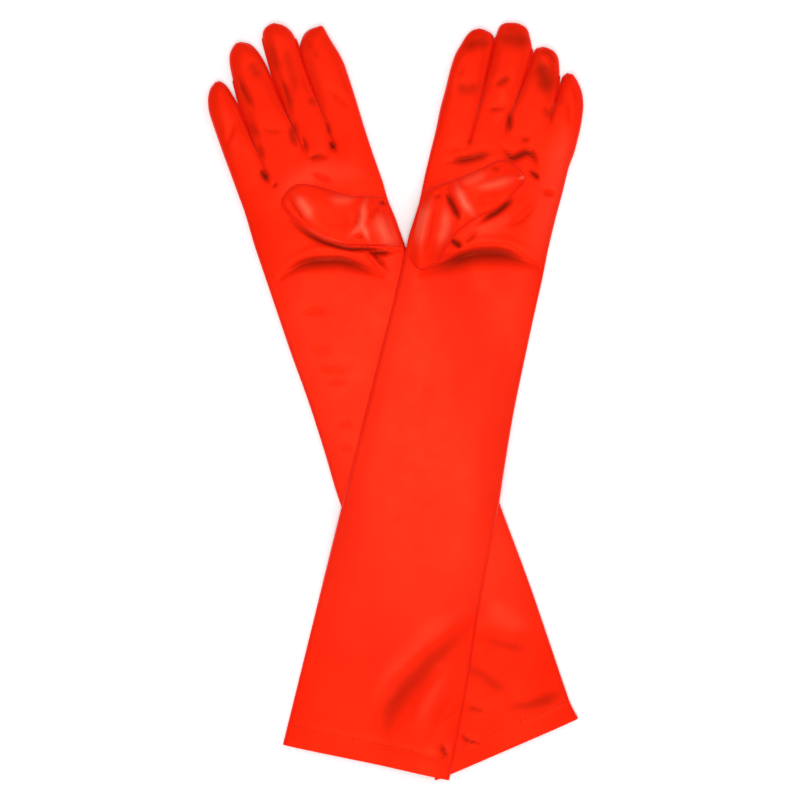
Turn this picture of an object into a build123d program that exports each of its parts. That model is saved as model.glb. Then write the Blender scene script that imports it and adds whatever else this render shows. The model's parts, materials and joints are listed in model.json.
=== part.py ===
"""A pair of satin opera gloves, lying palm up and crossed, the left glove on the right one.

Millimetres, +Z up. The origin is on the floor below the middle of the pair, and +Y runs
from the cuffs to the fingertips. Each glove is drawn in its own flat frame first: x is the
distance out towards the thumb, y the distance from the cuff. The right glove lies flat on
the floor. The left glove is draped over it: every piece of it is cut to a band that climbs
over the right glove and comes down again on both sides.
"""

import os
from dataclasses import dataclass

from build123d import *

# Cloth and lying thicknesses
CLOTH = 0.5  # stretch satin
GLOVE = 6.4  # sleeve and hand, lying flat with the arm's hollow between the two faces
FINGER = 4.8  # a finger, pressed flat
THUMB = 4.6  # the thumb, folded over the palm
GAP = 0.3  # clearance between pieces of different bodies

# Distances from the cuff
HEM_DEPTH = 14.5  # the turned hem, up to its stitching
MID_SLEEVE = 170
PALM = 395
KNUCKLES = 450

# The drape of the left glove over the right one
LIFT = GLOVE + GAP
PLATEAU = 55.5  # half-width of the right glove with its clearance
SLOPE = 25  # run of the cloth from the right glove's edge down to the floor
SEAM_BEND = 206  # where the left side seam leaves the right glove, from the left cuff
REACH = 600  # past everything


@dataclass(frozen=True)
class Finger:
    """One finger's flat outline: its root on the knuckle line and its rounded tip."""

    name: str
    root: tuple  # thumb side and little side of the root, across the glove
    thumb_shoulder: tuple  # where the tip's rounding starts on the thumb side
    tip: tuple
    little_shoulder: tuple  # where it ends on the little-finger side


@dataclass(frozen=True)
class Glove:
    """One glove's outline and where it lies."""

    name: str
    thumb_sign: int  # +1 with the thumb on the glove's own right, -1 on its left
    cuff_centre: tuple  # on the floor
    lean: float  # degrees about +Z
    draped: bool
    wrist: float  # the wrist's bending line, from the cuff
    hem_rise: tuple  # how far the cuff's two corners stand off a square cut
    thumb_edge: tuple  # half-widths at cuff, mid sleeve, wrist, palm and knuckles
    little_edge: tuple
    fingers: tuple
    thumb: tuple  # the folded thumb's corners, from its root round the tip
    thumb_hole: tuple  # centre of the hole in the palm that the thumb is sewn into

    def point(self, out, along):
        """A point of the flat glove in its own drawing plane."""
        return (self.thumb_sign * out, along)

    def plane(self):
        """The floor under the glove, with +Y along the arm."""
        turned = Plane.XY.rotated((0, 0, self.lean))
        return Plane(
            origin=(*self.cuff_centre, 0), x_dir=turned.x_dir, z_dir=turned.z_dir
        )


RIGHT = Glove(
    name="right",
    thumb_sign=1,
    cuff_centre=(77.3, -243.3),
    lean=18.9,
    draped=False,
    wrist=356,
    hem_rise=(4.2, -4.4),
    thumb_edge=(54.7, 51.5, 47.2, 46.5, 47.2),
    little_edge=(54.0, 54.0, 52.5, 52.2, 52.2),
    fingers=(
        Finger("index", (47.2, 22.8), (45.9, 506), (35.0, 521.8), (22.6, 510)),
        Finger("middle", (22.2, 1.2), (21.0, 521), (9.5, 533.2), (-1.8, 521)),
        Finger("ring", (0.6, -29.2), (-5.6, 515), (-17.5, 528), (-28.8, 515)),
        Finger("little", (-29.8, -52.2), (-33.2, 497), (-41.5, 507), (-51.8, 494)),
    ),
    thumb=((43, 393), (22, 401.5), (-10.5, 421), (-25, 413), (-19, 396), (-7, 381),
           (8, 370), (43, 358)),
    thumb_hole=(31, 378),
)

LEFT = Glove(
    name="left",
    thumb_sign=-1,
    cuff_centre=(-22.1, -251.7),
    lean=-12.3,
    draped=True,
    wrist=346,
    hem_rise=(-0.5, 1.0),
    thumb_edge=(57.9, 53.2, 47.7, 45.6, 45.0),
    little_edge=(60.7, 54.0, 50.0, 50.0, 53.0),
    fingers=(
        Finger("index", (45.0, 19.8), (42.3, 503), (30.5, 518), (18.4, 507)),
        Finger("middle", (19.2, -2.0), (17.6, 515), (5.5, 527.2), (-7.5, 515)),
        Finger("ring", (-2.6, -29.6), (-10.6, 505), (-20.5, 515), (-31, 501)),
        Finger("little", (-30.2, -53.0), (-34.2, 492), (-41, 499.8), (-51.5, 487)),
    ),
    thumb=((44.5, 399), (24.5, 411), (-3.5, 431), (-23, 422), (-20.5, 411), (-11, 397),
           (4, 385), (22, 372), (44.5, 350)),
    thumb_hole=(31, 380),
)

THUMB_HOLE_SIZE = (14, 24)  # across the hand, along it
THUMB_CORNER = 4  # rounding of the folded thumb's corners


def drape_band(low, high):
    """The left glove's layer from low to high above its own sole, over the right glove."""
    across = Plane(
        origin=(*RIGHT.cuff_centre, 0),
        x_dir=RIGHT.plane().x_dir,
        z_dir=-RIGHT.plane().y_dir,
    )
    foot = PLATEAU + SLOPE
    path = ((-REACH, 0), (-foot, 0), (-PLATEAU, LIFT), (PLATEAU, LIFT), (foot, 0), (REACH, 0))
    top = [(x, z + high) for x, z in path]
    bottom = [(x, z + low) for x, z in reversed(path)]
    with BuildPart() as band:
        with BuildSketch(across):
            with BuildLine():
                Polyline(*top, *bottom, close=True)
            make_face()
        extrude(amount=REACH, both=True)
    return band.part


def layer(glove, outline, low, high):
    """A flat outline raised into the glove's layer from low to high above its own sole."""
    floor = glove.plane()
    with BuildPart() as raised:
        if glove.draped:
            with BuildSketch(floor):
                add(outline)
            extrude(amount=LIFT + high)
            add(drape_band(low, high), mode=Mode.INTERSECT)
        else:
            with BuildSketch(floor.offset(low)):
                add(outline)
            extrude(amount=high - low)
    return raised.part


def save(part, name, colour):
    """Label one finished piece and write its file."""
    part.label = name
    part.color = Color(colour)
    export_step(part, f"parts/{name}.step")


def edge_at(glove, edge, along):
    """The half-width of one edge of the flat glove at a distance from the cuff."""
    stops = (0, MID_SLEEVE, glove.wrist, PALM, KNUCKLES)
    spans = zip(stops, stops[1:], edge, edge[1:])
    for start, stop, near, far in spans:
        if along <= stop:
            return near + (far - near) * (along - start) / (stop - start)
    return edge[-1]


def edge_points(glove, edge, sign, start, stop):
    """The corners of one edge of the flat glove between two distances from the cuff."""
    stops = (start, *[s for s in (MID_SLEEVE, PALM) if start < s < stop], stop)
    points = [(sign * edge_at(glove, edge, s), s) for s in stops]
    if start == 0:
        corner = 0 if sign > 0 else 1
        points[0] = (points[0][0], glove.hem_rise[corner])
    return points


def flat_outline(glove, corners):
    """A straight-sided outline on the flat glove."""
    with BuildSketch() as outline:
        with BuildLine():
            Polyline(*[glove.point(*c) for c in corners], close=True)
        make_face()
    return outline.sketch


def sheet(name, glove, corners, low, high, colour):
    """A flat face of cloth with straight sides, laid in one layer of the glove."""
    save(layer(glove, flat_outline(glove, corners), low, high), name, colour)


def wall(name, glove, outer, colour):
    """The narrow side of the sleeve or hand, standing between its two faces along one edge."""
    inward = -CLOTH if outer[0][0] > 0 else CLOTH
    inner = [(out + inward, along) for out, along in reversed(outer)]
    sheet(name, glove, [*outer, *inner], CLOTH, GLOVE - CLOTH, colour)


def sleeve(glove):
    """The sleeve from the cuff to the wrist, with the turned hem inside its mouth."""
    stop = glove.wrist - GAP
    thumb_side = edge_points(glove, glove.thumb_edge, 1, 0, stop)
    little_side = edge_points(glove, glove.little_edge, -1, 0, stop)
    corners = [*thumb_side, *reversed(little_side)]
    sheet(f"{glove.name}_sleeve_back", glove, corners, 0, CLOTH, "firebrick")
    sheet(f"{glove.name}_sleeve_palm", glove, corners, GLOVE - CLOTH, GLOVE, "red")
    wall(f"{glove.name}_sleeve_fold", glove, thumb_side, "tomato")
    if glove.draped:
        over = edge_points(glove, glove.little_edge, -1, 0, SEAM_BEND)
        beyond = edge_points(glove, glove.little_edge, -1, SEAM_BEND, stop)
        wall(f"{glove.name}_sleeve_side_seam_lower", glove, over, "darkred")
        wall(f"{glove.name}_sleeve_side_seam_upper", glove, beyond, "indianred")
    else:
        wall(f"{glove.name}_sleeve_side_seam", glove, little_side, "darkred")

    (thumb_out, thumb_rise), (little_out, little_rise) = thumb_side[0], little_side[0]
    hem = [
        (thumb_out - CLOTH, thumb_rise),
        (edge_at(glove, glove.thumb_edge, HEM_DEPTH) - 2 * CLOTH, thumb_rise + HEM_DEPTH),
        (2 * CLOTH - edge_at(glove, glove.little_edge, HEM_DEPTH), little_rise + HEM_DEPTH),
        (little_out + CLOTH, little_rise),
    ]
    sheet(f"{glove.name}_hem_back", glove, hem, CLOTH, 2 * CLOTH, "orange")
    roof = GLOVE - CLOTH
    sheet(f"{glove.name}_hem_palm", glove, hem, roof - CLOTH, roof, "gold")


def thumb_hole_in(glove, outline):
    """The outline with the hole that joins the thumb to the palm."""
    with BuildSketch() as pierced:
        add(outline)
        with Locations(glove.point(*glove.thumb_hole)):
            Rectangle(*THUMB_HOLE_SIZE, mode=Mode.SUBTRACT)
    return pierced.sketch


def hand(glove):
    """The hand from the wrist to the knuckles."""
    stop = KNUCKLES - GAP
    thumb_side = edge_points(glove, glove.thumb_edge, 1, glove.wrist, stop)
    little_side = edge_points(glove, glove.little_edge, -1, glove.wrist, stop)
    corners = [*thumb_side, *reversed(little_side)]
    sheet(f"{glove.name}_hand_back", glove, corners, 0, CLOTH, "brown")
    palm = thumb_hole_in(glove, flat_outline(glove, corners))
    save(layer(glove, palm, GLOVE - CLOTH, GLOVE), f"{glove.name}_hand_palm", "crimson")
    wall(f"{glove.name}_hand_fold", glove, thumb_side, "salmon")
    wall(f"{glove.name}_hand_side_seam", glove, little_side, "maroon")


def thumb_outline(glove):
    """The folded thumb's flat outline, with rounded corners away from its root."""
    root = glove.point(*glove.thumb[0])[0]
    with BuildSketch() as outline:
        with BuildLine():
            Polyline(*[glove.point(*c) for c in glove.thumb], close=True)
        make_face()
        corners = [v for v in outline.vertices() if abs(v.X - root) > 1]
        fillet(corners, radius=THUMB_CORNER)
    return outline.sketch


def thumb(glove):
    """The thumb, folded over the palm: two faces and the seamed rim between them."""
    sole = GLOVE + GAP
    roof = sole + THUMB
    outline = thumb_outline(glove)
    with BuildSketch() as rim:
        add(outline)
        offset(amount=-CLOTH, mode=Mode.SUBTRACT)
    top = layer(glove, outline, roof - CLOTH, roof)
    seam = layer(glove, rim.sketch, sole + CLOTH, roof - CLOTH)
    under = layer(glove, thumb_hole_in(glove, outline), sole, sole + CLOTH)
    save(top, f"{glove.name}_thumb_top", "hotpink")
    save(seam, f"{glove.name}_thumb_seam", "pink")
    save(under, f"{glove.name}_thumb_under", "deeppink")


def finger_outline(glove, finger):
    """One finger's flat outline, from the knuckle line round the tip."""
    thumb_root = glove.point(finger.root[0], KNUCKLES)
    little_root = glove.point(finger.root[1], KNUCKLES)
    thumb_shoulder = glove.point(*finger.thumb_shoulder)
    little_shoulder = glove.point(*finger.little_shoulder)
    with BuildSketch() as outline:
        with BuildLine():
            Line(thumb_root, thumb_shoulder)
            ThreePointArc(thumb_shoulder, glove.point(*finger.tip), little_shoulder)
            Line(little_shoulder, little_root)
            Line(little_root, thumb_root)
        make_face()
    return outline.sketch


def finger_side(glove, finger, sign):
    """One side of a finger, from its root round to the middle of its tip.

    sign is +1 for the side towards the thumb and -1 for the side away from it.
    """
    room = finger.root[0] - finger.root[1] - 2 * CLOTH
    middle = sum(finger.root) / 2
    other_half = (finger.tip[0] - sign * REACH / 2, KNUCKLES)
    with BuildSketch() as side:
        add(finger_outline(glove, finger))
        offset(amount=-CLOTH, mode=Mode.SUBTRACT)
        with Locations(glove.point(middle, KNUCKLES)):
            Rectangle(room, 4 * CLOTH, mode=Mode.SUBTRACT)
        with Locations(glove.point(*other_half)):
            Rectangle(REACH, REACH, mode=Mode.SUBTRACT)
    return layer(glove, side.sketch, CLOTH, FINGER - CLOTH)


def fingers(glove):
    """Four fingers, each with a palm face, a back face and two sides.

    The forefinger's outer side is the glove's folded edge and the little finger's is its
    side seam. Every other side is a fourchette, the strip sewn in between two fingers.
    """
    sides = {
        "index": ("fold", "fourchette"),
        "middle": ("inner_fourchette", "outer_fourchette"),
        "ring": ("inner_fourchette", "outer_fourchette"),
        "little": ("fourchette", "side_seam"),
    }
    for finger in glove.fingers:
        stem = f"{glove.name}_{finger.name}"
        outline = finger_outline(glove, finger)
        inner, outer = sides[finger.name]
        save(layer(glove, outline, 0, CLOTH), f"{stem}_back", "indianred")
        save(layer(glove, outline, FINGER - CLOTH, FINGER), f"{stem}_palm", "orangered")
        save(finger_side(glove, finger, 1), f"{stem}_{inner}", "darkorange")
        save(finger_side(glove, finger, -1), f"{stem}_{outer}", "chocolate")


os.makedirs("parts", exist_ok=True)
for each in (RIGHT, LEFT):
    sleeve(each)
    hand(each)
    thumb(each)
    fingers(each)
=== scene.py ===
"""Satin opera gloves, a Blender add-on: the pair, its stitching and a soft studio.

Each glove is worked out in its own flat frame: r is the distance out from the arm's middle
line towards the thumb, v the distance from the cuff along the arm, and z the height above
the floor, all in millimetres. The outer cloth is computed once for the whole glove, so that
the sewn pieces meet without a step, and then divided where the real glove is sewn.
"""

import json
import math

import bpy
import numpy as np
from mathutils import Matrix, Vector


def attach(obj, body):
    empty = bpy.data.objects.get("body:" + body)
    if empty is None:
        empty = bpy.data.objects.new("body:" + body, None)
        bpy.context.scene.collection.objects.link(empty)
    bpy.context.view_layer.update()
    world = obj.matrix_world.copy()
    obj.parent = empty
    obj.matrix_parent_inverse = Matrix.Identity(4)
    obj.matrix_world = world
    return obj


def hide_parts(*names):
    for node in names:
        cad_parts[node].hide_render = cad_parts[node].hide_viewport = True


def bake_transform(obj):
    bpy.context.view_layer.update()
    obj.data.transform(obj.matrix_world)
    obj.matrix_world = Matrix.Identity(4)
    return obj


bl_info = {
    "name": "Opera gloves",
    "version": (1, 0, 0),
    "blender": (4, 5, 0),
    "location": "View3D > Sidebar > Gloves",
    "description": "Builds a pair of satin opera gloves and their studio",
    "category": "Add Mesh",
}

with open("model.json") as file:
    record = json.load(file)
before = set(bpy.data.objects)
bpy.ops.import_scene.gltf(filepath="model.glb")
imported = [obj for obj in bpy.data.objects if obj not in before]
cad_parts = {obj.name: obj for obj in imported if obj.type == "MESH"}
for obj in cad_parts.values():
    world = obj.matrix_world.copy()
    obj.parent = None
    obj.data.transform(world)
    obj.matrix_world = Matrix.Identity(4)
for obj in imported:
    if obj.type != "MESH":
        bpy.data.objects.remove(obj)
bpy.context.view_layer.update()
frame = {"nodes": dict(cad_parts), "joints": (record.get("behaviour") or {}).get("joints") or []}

MM = 0.001
SAME_POINT = 2e-6  # points of the shared frame closer than this, in metres, are one

# Places along the glove, in millimetres from the cuff
CUFF_SLANT = 90  # by here the rows of the mesh no longer follow the slanting cuff
HAND_START = 330  # where the rows come closer together
SPLIT = 428  # where the finger pieces begin
KNUCKLE_START, KNUCKLE_END = 443.0, 457.0  # a finger's knuckles lie between these
THUMB_ROOT = 375.0  # the middle of the thumb's root
WRIST_REACH = 10.0  # this far on each side of the wrist's fold

# Heights and reaches, in millimetres
FLOOR_GAP = 0.15  # the lower face lies this far over the floor
MID_HEIGHT = 1.9  # the glove's edge, where its two faces meet
BEND_HEIGHT = 3.0  # halfway up a glove, where spot() places its points
ARM_ROUND, FINGER_ROUND = 24, 10.5  # how far in from an edge the upper face goes on rising
THUMB_GAP = 0.25  # the thumb's lower face lies this far over the palm
THUMB_BELOW = 0.36  # share of the thumb's height that is below its edge
UNEVEN = 0.26  # gentle unevenness of the upper face
HEM_GROOVE, HEM_GROOVE_WIDTH = 0.35, 1.1  # what the hem's stitches pull in
STRIP_RISE = 0.5  # how much higher a finger's upper face stands where a strip is sewn to it

# Divisions of the meshes
HEM_ROWS, SLEEVE_ROWS, HAND_ROWS, FINGER_ROWS = 6, 106, 108, 74
FINGER_COLUMNS = (23, 23, 26, 23)  # from the index to the little finger
STRIP_COLUMNS = 5
THUMB_ROWS, THUMB_COLUMNS = 86, 45

# Shares of the cloth's thickness
STRIP_CLOTH = 0.8  # a strip's cloth
HEM_INSET = 1.15  # how far in from the outer face the turned hem lies

# In metres: how far inside the sleeve's own edge the hem's fold stands, and the hem's thread
MOUTH_INSET = 0.0001
STITCH_PITCH = 0.0032  # from one stitch to the next
THREAD = 0.00028  # thickness
THREAD_SIDES = 6

# --------------------------------------------------------------------------------------
# The two gloves, in millimetres of their own flat frames
# --------------------------------------------------------------------------------------

RIGHT = {
    "name": "right",
    "side": 1,
    "seed": 7,
    "wrist": 356,
    "lifted": False,
    "thumb_edge": [(4.2, 54.7), (18, 52.8), (92, 53), (159, 51.5), (250, 49.5), (360, 47.2),
                   (375, 47.1), (390, 46.3), (405, 46.9), (420, 46.8), (428, 46.8)],
    "little_edge": [(-4.4, -54), (203, -54.1), (239, -52.7), (276, -52), (313, -52.6),
                    (350, -52.5), (387, -52.4), (416, -51.3), (428, -51.6)],
    "roots": (46.8, 23.0, 1.6, -28.8, -51.6),
    "seam_ends": (438, 443, 432),
    "openings": (498, 492, 478),
    "fingers": {
        "index": (
            [(428, 46.8), (442, 47), (464, 47.8), (488, 48.2), (497, 47.3), (504, 45.8),
             (512, 44), (517, 43.2), (519.6, 42.6), (520.9, 41.2)],
            [(428, 23), (438, 22.8), (470, 22.2), (500, 21.6), (505.4, 21.6), (510, 22.8),
             (514, 25), (517.6, 28), (519.8, 31), (520.9, 34.4)],
        ),
        "middle": (
            [(428, 23), (438, 22.8), (470, 21.8), (500, 21.3), (515, 21.5), (521, 20.9),
             (524.5, 19.8), (530, 16), (533.2, 10.8)],
            [(428, 1.6), (443, 1.4), (470, -0.6), (497, -1.8), (511, -1.2), (523, -0.3),
             (529, 1.4), (532.2, 4.8), (533.2, 8)],
        ),
        "ring": (
            [(428, 1.6), (443, 1.4), (470, -1.6), (497.4, -3.6), (509, -5), (518.7, -7.4),
             (525, -11), (528.3, -16.4)],
            [(428, -28.8), (432, -28.8), (460, -29.6), (486, -30.2), (502.7, -29.1),
             (514, -27.8), (521, -25.9), (524.8, -23.4), (528.3, -19)],
        ),
        "little": (
            [(428, -28.8), (432, -28.8), (460, -30.2), (486.4, -32), (495.5, -33.8),
             (502, -35.5), (505.8, -37.8), (507.2, -39.4)],
            [(428, -51.6), (439, -51.8), (461, -52.3), (476, -52.4), (487, -52.3),
             (495, -50.9), (503.5, -46.6), (507.2, -41.6)],
        ),
    },
    "thumb_lower": [(44.2, 356), (30, 361.2), (17.4, 366), (7.7, 370), (-7.3, 381),
                    (-18.9, 396), (-23.8, 405), (-25.2, 410.5)],
    "thumb_upper": [(44.2, 393), (34, 397.3), (22, 401.6), (4.2, 414), (-4, 418.6),
                    (-11, 420.6), (-19, 418.2), (-24.4, 413.6)],
}

LEFT = {
    "name": "left",
    "side": -1,
    "seed": 21,
    "wrist": 346,
    "lifted": True,
    "thumb_edge": [(-0.5, 57.9), (168, 53.2), (260, 50.2), (347, 47.7), (363, 47.6),
                   (377.5, 46.5), (392, 45.4), (406, 45.6), (428, 45.3)],
    "little_edge": [(1, -60.7), (57, -59.3), (127, -55.3), (199, -53.4), (213, -52.5),
                    (270, -50.1), (327, -49.8), (355, -50), (377, -49.6), (398, -50),
                    (420, -51), (428, -51.2)],
    "roots": (45.3, 19.9, -1.5, -30.8, -51.2),
    "seam_ends": (439, 452, 464),
    "openings": (496, 500, 482),
    "fingers": {
        "index": (
            [(428, 45.3), (442, 44.9), (457, 45.1), (470, 44.5), (485, 44.1), (496, 43),
             (505, 40.2), (511.7, 37.7), (516, 34.4), (518, 30.6)],
            [(428, 19.9), (439, 19.8), (470, 19), (500, 18.3), (508.4, 18.3), (513, 19.4),
             (516.5, 22.6), (518, 27.4)],
        ),
        "middle": (
            [(428, 19.9), (439, 19.8), (470, 18.6), (500, 17.6), (508.4, 17.4), (515, 17.6),
             (519, 17.3), (523, 16.2), (525.8, 12.8), (527.2, 7)],
            [(428, -1.5), (452, -2.5), (480, -6.2), (500, -8.6), (508.7, -9.2), (515.8, -7),
             (520, -5), (524, -2.8), (526.2, 0), (527.2, 3.6)],
        ),
        "ring": (
            [(428, -1.5), (452, -2.5), (480, -7), (500, -9.9), (508, -10.9), (512.6, -12.4),
             (515, -16.6)],
            [(428, -30.8), (464, -31.4), (485.3, -32.4), (498.3, -31.1), (505, -29.4),
             (509, -28), (513.8, -23.4), (515, -19)],
        ),
        "little": (
            [(428, -30.8), (464, -31.4), (485.3, -33.6), (492, -33.9), (497, -34.6),
             (500.6, -37.2)],
            [(428, -51.2), (435, -51.4), (449, -53.2), (464, -53.6), (478, -52.7),
             (488, -50), (496, -45), (500.6, -40.6)],
        ),
    },
    "thumb_lower": [(44.4, 350), (38, 344.5), (31, 344), (24.5, 352), (19, 365), (13.5, 376.5),
                    (4.4, 386.6), (-9.6, 398.2), (-18.6, 411), (-22.4, 417.6)],
    "thumb_upper": [(44.4, 398.5), (34, 405), (24.5, 411), (10, 421), (-3.5, 430.6),
                    (-13, 429.5), (-20.5, 425.6), (-23.8, 421)],
}

# Folds of the cloth: points along the fold, height over the cloth (minus for a valley),
# half-width on its little-finger or lower side, on its other side, and how much painted
# shade the cloth gets in it (minus for a painted highlight along a ridge).
FOLDS = {
    "right": [
        ([(-42, 364), (-23, 367.4), (-2.6, 362.6), (8, 357), (16, 350), (25, 342)], -2.4, 5.0, 2.8, 0.8),
        ([(-34, 372), (-12, 373.5), (6, 367), (17, 360)], 0.7, 3.6, 3.6, 0),
        ([(17, 367), (20, 362), (26, 347), (30, 341)], 1.3, 1.8, 1.8, 0),
        ([(23, 365), (27, 352), (31, 345)], -1.3, 1.6, 1.6, 0.5),
        ([(-31.2, 439.5), (-28.4, 429)], -1.3, 2.4, 2.2, 1.0),
        ([(-26.4, 427.4), (-24, 424)], -0.6, 1.6, 1.6, 0.5),
        ([(2.5, 438), (6, 435.4), (11, 434.6), (17, 432.4)], -1.2, 1.6, 1.6, 0.75),
        ([(0.8, 426.4), (13.6, 414.2)], -0.5, 2.0, 2.0, 0.3),
        ([(20, 360), (29, 357), (37, 354.6)], -1.6, 2.2, 2.2, 0.9),
        ([(-26, 411), (-20.5, 395), (-8.5, 379.5), (7, 368), (17, 364), (30, 359), (44, 353.5)],
         -1.0, 2.0, 1.6, 1.0),
        ([(-37, 336), (-27, 333), (-17.5, 329)], -0.5, 3.0, 2.4, 0.12),
        ([(-42.6, 310), (-33, 307), (-22.8, 303)], -0.45, 3.2, 2.4, 0.1),
        ([(-40.6, 294.5), (-29, 291), (-17.4, 286)], -0.55, 3.0, 2.4, 0.12),
        ([(-40.2, 284.6), (-30, 281.5), (-20.3, 278)], -0.4, 2.6, 2.2, 0.1),
        ([(-39.8, 253.3), (-33, 251.5), (-26.5, 248.8)], -0.5, 3.2, 2.4, 0.1),
        ([(-44, 238), (-38.4, 235.8), (-32, 233)], -0.35, 3.2, 2.4, 0.06),
        ([(26, 518), (29, 509), (33, 498)], -0.5, 2.6, 2.6, 0.12),
        ([(-10, 70), (6, 48.5), (18, 30)], -0.9, 8.0, 8.0, 0.42),
        ([(56, 25.5), (45, 24.2), (29, 24.1), (4, 29)], -0.9, 6.0, 5.0, 0.48),
        ([(6, 83), (23, 69.6), (44, 57)], -0.8, 8.0, 7.0, 0.4),
        ([(22, 104), (29, 87), (46, 75)], 0.6, 8.0, 8.0, -0.12),
        ([(-19, 38), (-11, 33.8), (-2, 28)], -0.7, 3.4, 3.4, 0.5),
        ([(-27, 22), (-22, 14.4), (-14, 9)], -1.0, 2.2, 2.2, 0.7),
        ([(30, 480), (37, 470), (43, 456)], -0.5, 2.6, 2.6, 0.15),
        ([(-14, 516), (-12.7, 507.4), (-10.6, 499)], -0.5, 4.0, 4.0, 0.28),
        ([(-25, 507), (-24.4, 494.4), (-21.8, 480)], -0.7, 2.4, 2.4, 0.5),
        ([(4, 524), (2.3, 511), (1.8, 496.4)], -0.5, 3.6, 3.6, 0.32),
        ([(14, 524), (12, 511), (10.5, 493), (7, 478)], -0.6, 4.6, 4.6, 0.24),
        ([(1.8, 497), (3, 484.3), (1.8, 469)], -0.7, 2.4, 2.4, 0.42),
        ([(3, 463), (-2, 455), (-1.4, 445)], -0.8, 3.0, 3.0, 0.5),
        ([(3.8, 452), (3.7, 440)], -0.8, 1.8, 1.8, 0.5),
        ([(23.4, 456), (22.1, 445)], -0.7, 1.5, 1.5, 0.5),
        ([(20.6, 442), (22.8, 434.8)], -1.2, 2.2, 2.2, 1.0),
        ([(15, 474.5), (22, 470.5)], -0.4, 2.5, 2.5, 0.3),
        ([(-28.3, 475), (-25.5, 459)], -0.5, 3.0, 3.0, 0.3),
        ([(-26.9, 457), (-27, 444)], -0.5, 2.2, 2.2, 0.38),
        ([(-24, 470), (-14, 462), (-6, 460)], -0.5, 2.4, 2.4, 0.15),
        ([(-36, 480), (-42, 470), (-48, 462)], -0.45, 2.4, 2.4, 0.15),
        ([(-34, 414), (-4, 424), (22, 420), (40, 408)], 0.3, 9.0, 9.0, -0.14),
        ([(-42, 450), (-43, 475), (-42, 498)], 0.2, 6.0, 6.0, -0.1),
        ([(34, 505), (34, 480), (33, 455)], 0.2, 7.0, 7.0, -0.06),
    ],
    "left": [
        ([(33, 342.5), (18.6, 351.5), (7, 360), (-3, 364.6), (-18.6, 368), (-31, 367),
          (-46, 364.5)], -2.8, 7.0, 3.4, 0.85),
        ([(18, 362), (2, 371), (-18, 376), (-36, 374)], 0.8, 4.0, 4.0, 0),
        ([(31, 346), (20, 354.5), (9.5, 363)], 1.3, 1.8, 1.8, 0),
        ([(20, 370), (14, 367.5), (9.5, 364)], -2.0, 2.2, 2.2, 1.0),
        ([(9, 367), (2, 380)], -0.6, 2.0, 2.0, 0.3),
        ([(3.4, 382.8), (-4, 390.4), (-10.4, 396.6), (-21, 410.6)], -1.0, 2.4, 2.0, 1.0),
        ([(-2, 441), (-7, 437), (-12, 434.5), (-20.5, 440), (-26, 438), (-30, 431)],
         -1.8, 2.3, 2.1, 0.95),
        ([(-24.6, 428), (-29, 426), (-33, 423)], -1.6, 1.6, 1.6, 0.9),
        ([(33, 421.5), (17.5, 427.4), (1, 437)], -1.3, 3.0, 3.2, 0.75),
        ([(36, 430), (28, 432), (18, 434)], -0.4, 3.0, 3.0, 0.25),
        ([(-17, 385.6), (-27, 395), (-34.3, 408)], -0.7, 3.0, 3.0, 0.2),
        ([(3, 427.5), (-1, 427), (-5, 424.5)], -0.6, 1.5, 1.5, 0.3),
        ([(-47, 417.5), (-42.7, 415.5), (-37, 416)], -0.6, 2.4, 2.4, 0.3),
        ([(-60, 118), (-39, 89.5), (-25, 70.6), (-13, 52.3), (-8.5, 33), (-11, 4)],
         -1.3, 10.0, 10.0, 0.5),
        ([(-41, 32), (-51, 45), (-57, 53)], -0.6, 4.0, 4.0, 0.25),
        ([(-47, 122), (-24, 94), (-5, 66), (5, 36)], 0.7, 8.0, 8.0, -0.12),
        ([(-46, 80), (-36, 58), (-28, 34)], 0.8, 6.0, 6.0, -0.1),
        ([(-50, 58), (-44, 40), (-38, 26)], -0.6, 4.0, 4.0, 0.15),
        ([(-48, 25), (-53, 21), (-57, 15)], -1.0, 2.6, 2.6, 0.65),
        ([(40, 500), (29.5, 508), (18, 508)], -0.6, 5.0, 5.0, 0.45),
        ([(20, 481), (29, 475), (40, 477)], -0.5, 5.4, 5.4, 0.38),
        ([(22, 438.5), (18.4, 438.8)], -0.6, 1.5, 1.5, 0.5),
        ([(34, 497), (37, 482), (36, 466)], -0.4, 3.0, 3.0, 0.12),
        ([(19, 514), (5, 516), (-10, 514)], -0.5, 7.0, 7.0, 0.48),
        ([(-12, 508), (-21, 496), (-27, 480)], -0.7, 7.2, 7.2, 0.62),
        ([(-26, 475), (-32, 466)], -0.4, 3.5, 3.5, 0.3),
        ([(-13, 509), (-20, 511), (-28, 503)], -0.4, 2.0, 2.0, 0.35),
        ([(12, 481), (8, 484), (1, 491)], -0.6, 3.2, 3.2, 0.5),
        ([(14, 463), (8, 465), (-3, 469)], -0.5, 2.4, 2.4, 0.42),
        ([(-2, 466), (-4, 459), (-5.5, 450)], -0.8, 2.2, 2.2, 0.65),
        ([(-15, 446), (-20.5, 452.5)], -0.6, 2.4, 2.4, 0.45),
        ([(-40, 486), (-44, 474), (-46, 462)], -0.4, 2.4, 2.4, 0.15),
        ([(-40, 350), (-44, 395), (-45, 440), (-42, 490)], 0.4, 12.0, 12.0, -0.16),
        ([(-24, 396), (-8, 386), (8, 372)], 0.3, 7.0, 7.0, -0.14),
        ([(8, 490), (4, 470), (6, 448)], 0.2, 5.0, 5.0, -0.1),
    ],
}

# Folds of the thumbs, given as in FOLDS, with their painted shade and painted highlight
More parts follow.
